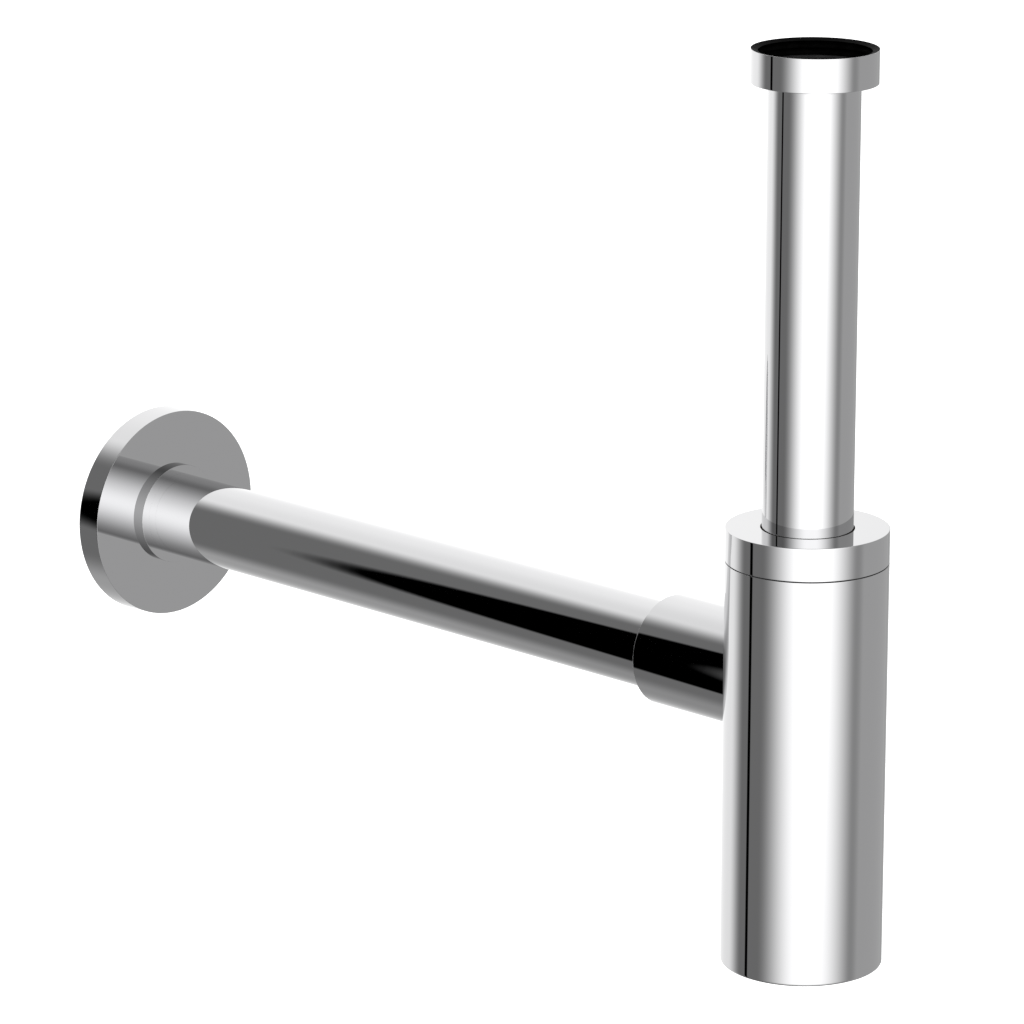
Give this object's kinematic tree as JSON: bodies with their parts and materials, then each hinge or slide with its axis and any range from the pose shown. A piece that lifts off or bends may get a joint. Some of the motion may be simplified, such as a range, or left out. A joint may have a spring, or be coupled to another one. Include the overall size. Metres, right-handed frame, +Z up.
{
  "type": "bottle trap",
  "caption": "Chromed bottle trap for a wash basin: straight inlet tube with union nut, cylindrical body with screwed cap, side outlet pipe and round wall flange.",
  "frame": {"origin": "on the inlet's centre line, at the inner end of the inlet nut's thread", "axes": "+Z up along the inlet tube; +Y along the outlet pipe to the wall; X across"},
  "size_m": [0.082, 0.3949, 0.3275],
  "materials": {
    "chrome_plate": "mirror-polished chrome plating on brass",
    "raw_brass": "turned, unplated",
    "black_rubber": "moulded, matt",
    "white_nylon": "moulded, satin"
  },
  "bodies": {
    "root": {"body_shell": "chrome_plate", "body_base": "chrome_plate", "neck_ring": "raw_brass", "seam_gasket": "black_rubber", "outlet_socket": "chrome_plate"},
    "cap_ring": {"cap_slip_ring": "white_nylon"},
    "cap": {"cap_nut": "chrome_plate"},
    "seal": {"tube_seal": "black_rubber"},
    "tube": {"inlet_tube": "chrome_plate", "tube_collar": "raw_brass", "inlet_gasket": "black_rubber"},
    "nut_washer": {"inlet_slip_washer": "white_nylon"},
    "nut": {"inlet_nut": "chrome_plate"},
    "pipe_seals": {"socket_inner_seal": "black_rubber", "socket_outer_seal": "black_rubber"},
    "pipe": {"outlet_pipe": "chrome_plate"},
    "flange_ring": {"flange_seal": "black_rubber"},
    "flange": {"wall_flange": "chrome_plate"},
    "plug_ring": {"plug_seal": "black_rubber"},
    "plug": {"cleanout_plug": "chrome_plate"}
  },
  "joints": [
    {"name": "cap_lift", "type": "slide", "parent": "root", "child": "cap_ring", "axis": [0, 0, 1], "range_m": [0, 0.008]},
    {"name": "cap_turn", "type": "hinge", "parent": "cap_ring", "child": "cap", "pos_m": [0, 0, -0.1628], "axis": [0, 0, 1], "range_deg": [0, 1450]},
    {"name": "tube_swivel", "type": "hinge", "parent": "root", "child": "seal", "pos_m": [0, 0, -0.172], "axis": [0, 0, 1], "continuous": true},
    {"name": "tube_height", "type": "slide", "parent": "seal", "child": "tube", "axis": [0, 0, 1], "range_m": [-0.008, 0.012]},
    {"name": "nut_drop", "type": "slide", "parent": "tube", "child": "nut_washer", "axis": [0, 0, 1], "range_m": [-0.13, 0]},
    {"name": "nut_spin", "type": "hinge", "parent": "nut_washer", "child": "nut", "pos_m": [0, 0, 0], "axis": [0, 0, 1], "continuous": true},
    {"name": "pipe_swivel", "type": "hinge", "parent": "root", "child": "pipe_seals", "pos_m": [0, 0.059, -0.2207], "axis": [0, 1, 0], "continuous": true},
    {"name": "pipe_reach", "type": "slide", "parent": "pipe_seals", "child": "pipe", "axis": [0, 1, 0], "range_m": [-0.0015, 0.012]},
    {"name": "flange_slide", "type": "slide", "parent": "pipe", "child": "flange_ring", "axis": [0, 1, 0], "range_m": [-0.25, 0]},
    {"name": "flange_spin", "type": "hinge", "parent": "flange_ring", "child": "flange", "pos_m": [0, 0.3319, -0.2207], "axis": [0, 1, 0], "continuous": true},
    {"name": "plug_drop", "type": "slide", "parent": "root", "child": "plug_ring", "axis": [0, 0, -1], "range_m": [0, 0.006]},
    {"name": "plug_turn", "type": "hinge", "parent": "plug_ring", "child": "plug", "pos_m": [0, 0, -0.3221], "axis": [0, 0, -1], "range_deg": [0, 1090]}
  ],
  "couplings": [
    {"joint": "cap_turn", "follows": "cap_lift", "rad_per_m": 3141.6},
    {"joint": "plug_turn", "follows": "plug_drop", "rad_per_m": 3141.6}
  ]
}
